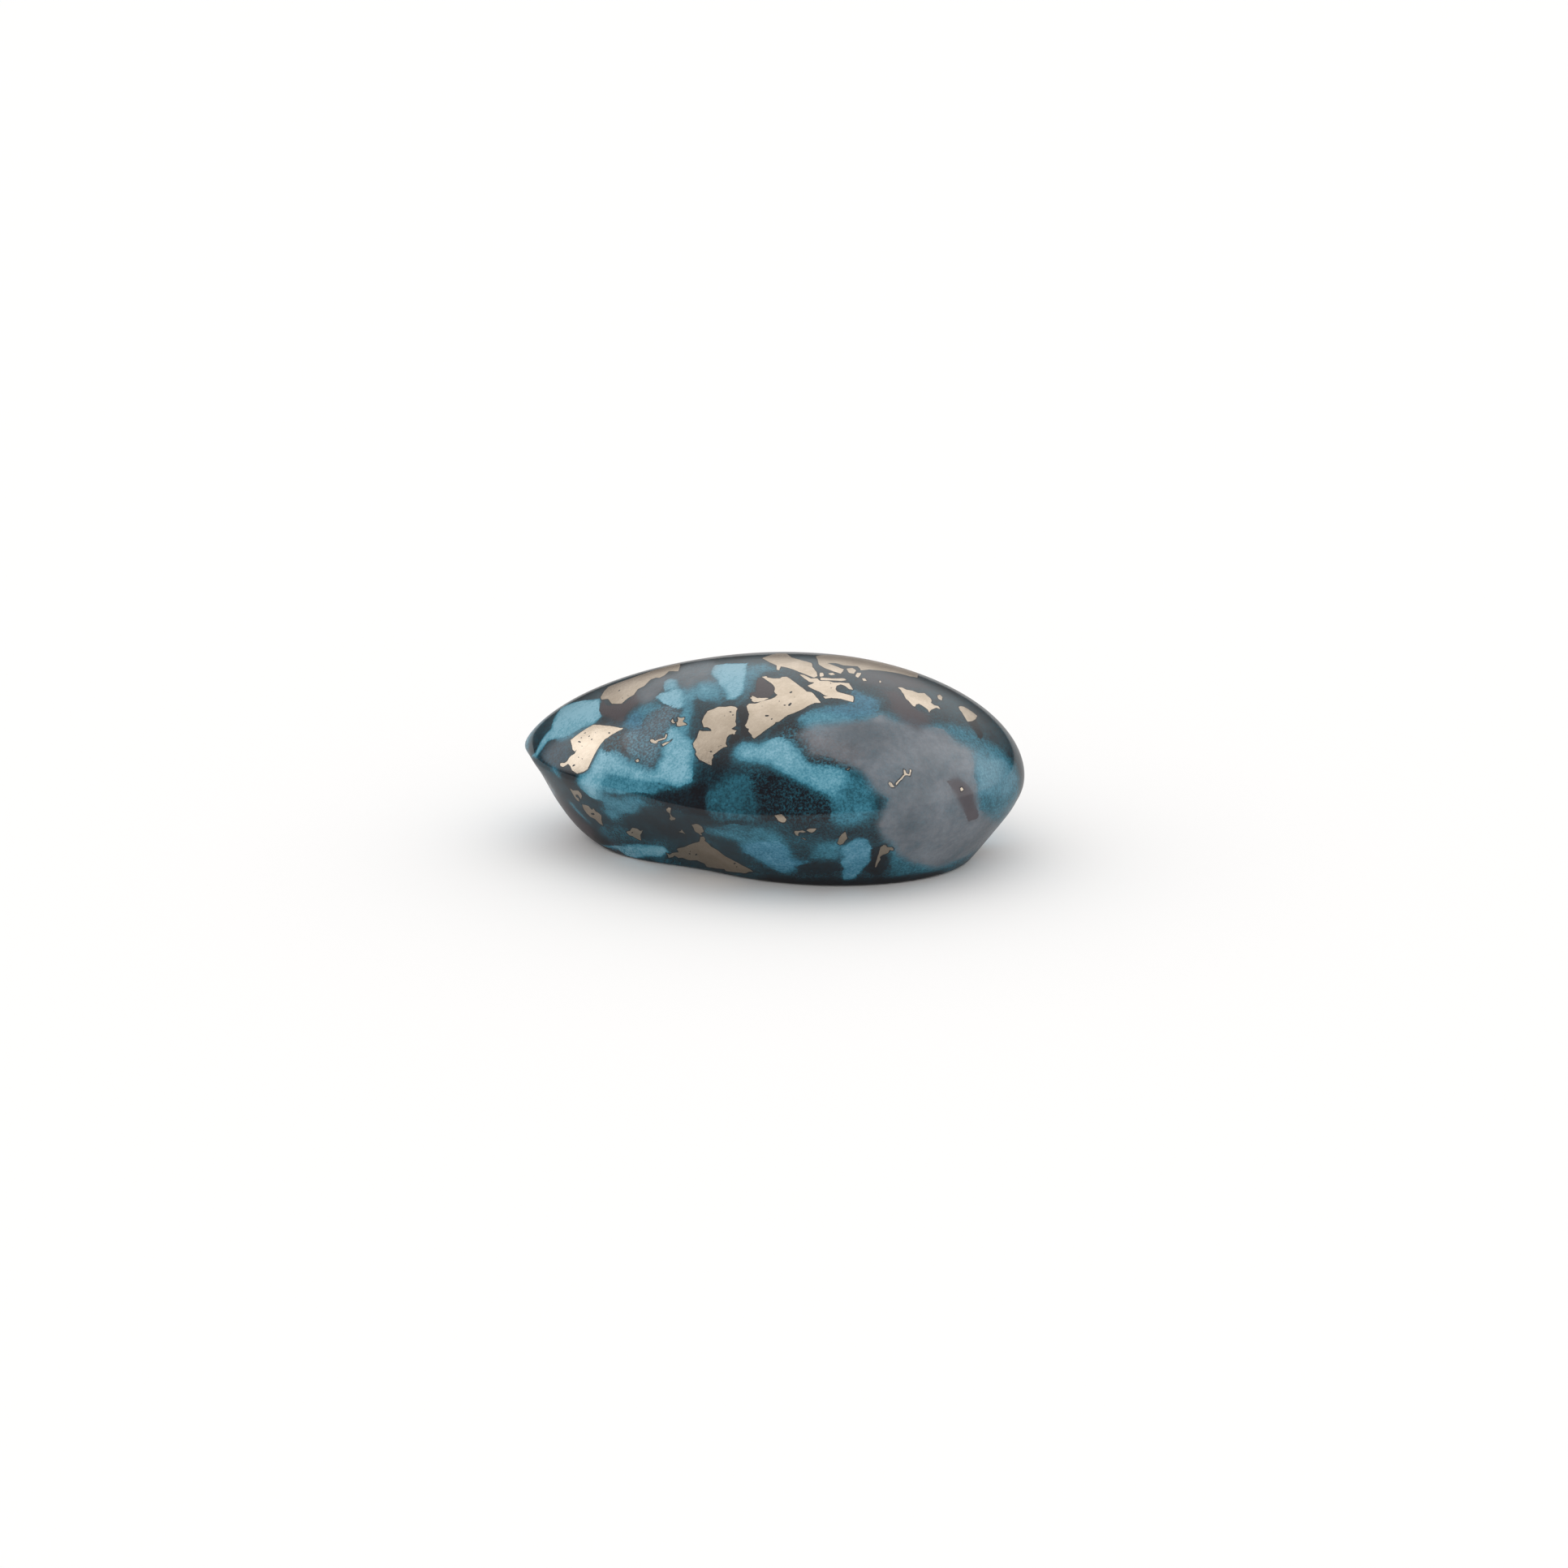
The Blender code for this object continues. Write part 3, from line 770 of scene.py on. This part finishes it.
def edges_of(triangles):
    """The unique edges, and for each triangle the rows of its three edges."""
    pairs = triangles[:, [[0, 1], [1, 2], [2, 0]]].reshape(-1, 2)
    pairs = np.sort(pairs, axis=1).astype(np.int64)
    codes, rows = np.unique(pairs[:, 0] << 32 | pairs[:, 1], return_inverse=True)
    return np.stack((codes >> 32, codes & 0xFFFFFFFF), axis=1), rows.reshape(-1, 3)


def divided(directions, triangles, edges, rows, chosen, shares):
    """Cut the chosen edges, each at its share of its length, and the triangles with them."""
    first, second = directions[edges[chosen, 0]], directions[edges[chosen, 1]]
    fresh = normalised(first + (second - first) * shares[:, None])
    new_point = np.full(len(edges), -1)
    new_point[chosen] = len(directions) + np.arange(len(chosen))
    cut_points = new_point[rows]
    cuts = (cut_points >= 0).sum(axis=1)
    pieces = [triangles[cuts == 0]]
    for turn in range(3):
        a, b, c = np.roll(triangles, -turn, axis=1).T
        ab, bc, ca = np.roll(cut_points, -turn, axis=1).T
        one = (cuts == 1) & (ab >= 0)
        two = (cuts == 2) & (ca < 0)
        pieces += [np.stack(corners, axis=1) for corners in (
            (a[one], ab[one], c[one]), (ab[one], b[one], c[one]),
            (ab[two], b[two], bc[two]), (a[two], ab[two], bc[two]), (a[two], bc[two], c[two]),
        )]
    three = cuts == 3
    a, b, c = triangles[three].T
    ab, bc, ca = cut_points[three].T
    quarters = ((a, ab, ca), (ab, b, bc), (ca, bc, c), (ab, bc, ca))
    pieces += [np.stack(corners, axis=1) for corners in quarters]
    return np.vstack((directions, fresh)), np.vstack(pieces)


def halved(directions, triangles, edges, rows, chosen):
    return divided(directions, triangles, edges, rows, chosen, np.full(len(chosen), 0.5))


def corner_normals(points, triangles):
    """Normal at each point, averaged from the triangles round it."""
    a, b, c = (points[triangles[:, corner]] for corner in range(3))
    faces = np.cross(b - a, c - a)
    normals = np.zeros_like(points)
    for corner in range(3):
        np.add.at(normals, triangles[:, corner], faces)
    return normalised(normals)


for step in range(PYRITE_PASSES):
    points = ground(directions)
    edges, rows = edges_of(triangles)
    lengths = np.linalg.norm(points[edges[:, 0]] - points[edges[:, 1]], axis=1)
    depth = np.abs(pyrite_depth(points))
    normals = corner_normals(points, triangles)
    bend = np.linalg.norm(normals[edges[:, 0]] - normals[edges[:, 1]], axis=1)
    wanted = np.clip(FINEST + GROWTH * depth[edges].min(axis=1), FINEST, COARSEST)
    chosen = (lengths > wanted * TOO_LONG) | ((bend > NORMAL_STEP) & (lengths > FINEST_FOR_NORMALS))
    directions, triangles = halved(directions, triangles, edges, rows, np.flatnonzero(chosen))

for step in range(COLOUR_PASSES):
    points = ground(directions)
    edges, rows = edges_of(triangles)
    lengths = np.linalg.norm(points[edges[:, 0]] - points[edges[:, 1]], axis=1)
    layers = colour_layers(points)
    change = np.zeros(len(edges))
    for values in layers.values():
        change = np.maximum(change, np.abs(values[edges[:, 0]] - values[edges[:, 1]]))
    chosen = (change > LAYER_STEP) & (lengths > FINEST_FOR_LAYERS)
    directions, triangles = halved(directions, triangles, edges, rows, np.flatnonzero(chosen))

# Cut along the pyrite's edge.
CUT_LEAST = 0.12
depth = pyrite_depth(ground(directions))
edges, rows = edges_of(triangles)
first_depth, second_depth = depth[edges[:, 0]], depth[edges[:, 1]]
crossed = np.flatnonzero((first_depth > 0) != (second_depth > 0))
shares = first_depth[crossed] / (first_depth[crossed] - second_depth[crossed])
shares = np.clip(shares, CUT_LEAST, 1 - CUT_LEAST)
directions, triangles = divided(directions, triangles, edges, rows, crossed, shares)
depth = np.concatenate((depth, np.zeros(len(crossed))))
in_pyrite = depth[triangles].sum(axis=1) > 0
points = ground(directions)
layers = colour_layers(points)

mesh = bpy.data.meshes.new("persian_turquoise")
mesh.from_pydata((points * MM).tolist(), [], triangles.tolist())
mesh.shade_smooth()
for name, values in {**layers, "depth": depth}.items():
    attribute = mesh.attributes.new(name, "FLOAT", "POINT")
    attribute.data.foreach_set("value", values.astype(np.float32))
mesh.update()
stone = bpy.data.objects.new("persian_turquoise", mesh)
scene.collection.objects.link(stone)


# Stone, its finishes. Both are polished together, the turquoise to a glassy
# gloss, and the harder pyrite to a soft metallic shine.
def maths(tree, operation, first, second):
    return add(tree, "Math", {0: first, 1: second}, operation=operation).outputs[0]


def layer(tree, name):
    return add(tree, "Attribute", attribute_name=name).outputs["Fac"]


def millimetres(tree):
    places = add(tree, "TexCoord").outputs["Object"]
    return add(tree, "Mapping", {"Vector": places, "Scale": (1000, 1000, 1000)}).outputs["Vector"]


def clouding(tree, places, scale, detail=3.0, roughness=0.55):
    inputs = {"Vector": places, "Scale": scale, "Detail": detail, "Roughness": roughness}
    return add(tree, "TexNoise", inputs).outputs["Fac"]


BLUE_STOPS = (
    (0.00, (0.008, 0.009, 0.012)),
    (0.15, (0.009, 0.020, 0.028)),
    (0.30, (0.012, 0.045, 0.062)),
    (0.45, (0.018, 0.090, 0.125)),
    (0.60, (0.036, 0.165, 0.230)),
    (0.72, (0.062, 0.230, 0.310)),
    (0.85, (0.120, 0.320, 0.410)),
    (1.00, (0.215, 0.430, 0.530)),
)

# The value that a noise is taken from and to, and what it turns into.
MOTTLE = (0.3, 0.7, -0.06, 0.06)
SPECKLE = (0.3, 0.7, -0.05, 0.05)
GRIT = (0.36, 0.62, -0.42, 0.22)
VEIL_MOTTLE = (0.3, 0.7, 0.0, 0.5)
VEIL_THINNING = (0.25, 0.6, 0.75, 1.0)
UNDERCUT_SHADE_BREAKS = (0.35, 0.55, 0.3, 0.9)

DENIM_STRENGTH = 0.6
DENIM_CAST = (0.62, 0.66, 0.95, 1.0)
VEIL_DARK = (0.05, 0.05, 0.057, 1.0)
VEIL_PALE = (0.34, 0.345, 0.375, 1.0)
VEIL_SHADE = (0.5, 0.5, 0.52, 1.0)
BARK_BROWN = (0.062, 0.046, 0.052, 1.0)
# Painted shade at the pyrite's edge: near black on the rock just outside each grain, where a groove would
# lie.
UNDERCUT_PAINTED_SHADE = (0.012, 0.011, 0.012, 1.0)
UNDERCUT_SHADE_DEPTHS = (-0.09, -0.02)
TURQUOISE_ROUGHNESS = 0.10
TURQUOISE_IOR = 1.61
TURQUOISE_RIPPLE = 0.02
RIPPLE_HEIGHT = 0.0002

turquoise = bpy.data.materials.new("turquoise")
turquoise.use_nodes = True
tree = turquoise.node_tree
surface = tree.nodes["Principled BSDF"]
places = millimetres(tree)
broad = clouding(tree, places, 0.6)
fine = clouding(tree, places, 3.0, detail=5.0, roughness=0.65)
grit = clouding(tree, places, 9.0, detail=4.0, roughness=0.7)

blue = maths(tree, "ADD", layer(tree, "blue"), between(tree, broad, *MOTTLE))
blue = maths(tree, "ADD", blue, between(tree, fine, *SPECKLE))
grain = maths(tree, "MULTIPLY", layer(tree, "grain"), between(tree, grit, *GRIT))
ramp = add(tree, "ValToRGB", {0: maths(tree, "ADD", blue, grain)})
ramp.color_ramp.interpolation = "EASE"
stops = ramp.color_ramp.elements
for position, colour in BLUE_STOPS[1:-1]:
    stops.new(position)
for stop, (position, colour) in zip(stops, BLUE_STOPS):
    stop.position = position
    stop.color = (*colour, 1.0)

denim = maths(tree, "MULTIPLY", layer(tree, "denim"), DENIM_STRENGTH)
colour = blended(tree, denim, ramp.outputs["Color"], DENIM_CAST, "MULTIPLY")
veil = blended(tree, layer(tree, "pale"), VEIL_DARK, VEIL_PALE)
veil = blended(tree, between(tree, fine, *VEIL_MOTTLE), veil, VEIL_SHADE, "MULTIPLY")
grey = maths(tree, "MULTIPLY", layer(tree, "grey"), between(tree, broad, *VEIL_THINNING))
colour = blended(tree, grey, colour, veil)
colour = blended(tree, layer(tree, "bark"), colour, BARK_BROWN)
# The painted shade of the groove round the pyrite, broken up by noise.
rim = between(tree, layer(tree, "depth"), *UNDERCUT_SHADE_DEPTHS)
rim = maths(tree, "MULTIPLY", rim, between(tree, fine, *UNDERCUT_SHADE_BREAKS))
colour = blended(tree, rim, colour, UNDERCUT_PAINTED_SHADE)
tree.links.new(colour, surface.inputs["Base Color"])
surface.inputs["Roughness"].default_value = TURQUOISE_ROUGHNESS
surface.inputs["IOR"].default_value = TURQUOISE_IOR
ripple = add(tree, "Bump", {"Height": fine, "Strength": TURQUOISE_RIPPLE, "Distance": RIPPLE_HEIGHT})
tree.links.new(ripple.outputs["Normal"], surface.inputs["Normal"])

PYRITE_DULL = (0.70, 0.60, 0.48, 1.0)
PYRITE_BRIGHT = (0.84, 0.73, 0.60, 1.0)
PYRITE_TONES = (0.3, 0.7)
TARNISH = (0.75, 0.72, 0.7, 1.0)
TARNISH_SPOTS = (0.3, 0.7, 0.0, 0.3)
PYRITE_ROUGHNESS = 0.24
PYRITE_RIPPLE = 0.05

pyrite_finish = bpy.data.materials.new("pyrite")
pyrite_finish.use_nodes = True
tree = pyrite_finish.node_tree
surface = tree.nodes["Principled BSDF"]
places = millimetres(tree)
broad = clouding(tree, places, 0.8)
fine = clouding(tree, places, 6.0, detail=4.0, roughness=0.7)
colour = blended(tree, between(tree, broad, *PYRITE_TONES), PYRITE_DULL, PYRITE_BRIGHT)
colour = blended(tree, between(tree, fine, *TARNISH_SPOTS), colour, TARNISH, "MULTIPLY")
tree.links.new(colour, surface.inputs["Base Color"])
surface.inputs["Metallic"].default_value = 1.0
surface.inputs["Roughness"].default_value = PYRITE_ROUGHNESS
ripple = add(tree, "Bump", {"Height": fine, "Strength": PYRITE_RIPPLE, "Distance": RIPPLE_HEIGHT})
tree.links.new(ripple.outputs["Normal"], surface.inputs["Normal"])


# Stone, finished. Turquoise and rock take the glassy finish and the grains of
# pyrite the metallic one, and the whole stone rides as the one piece it is.
mesh.materials.append(turquoise)
mesh.materials.append(pyrite_finish)
mesh.polygons.foreach_set("material_index", in_pyrite.astype(np.int32))

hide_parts("turquoise_stone")
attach(stone, "root")
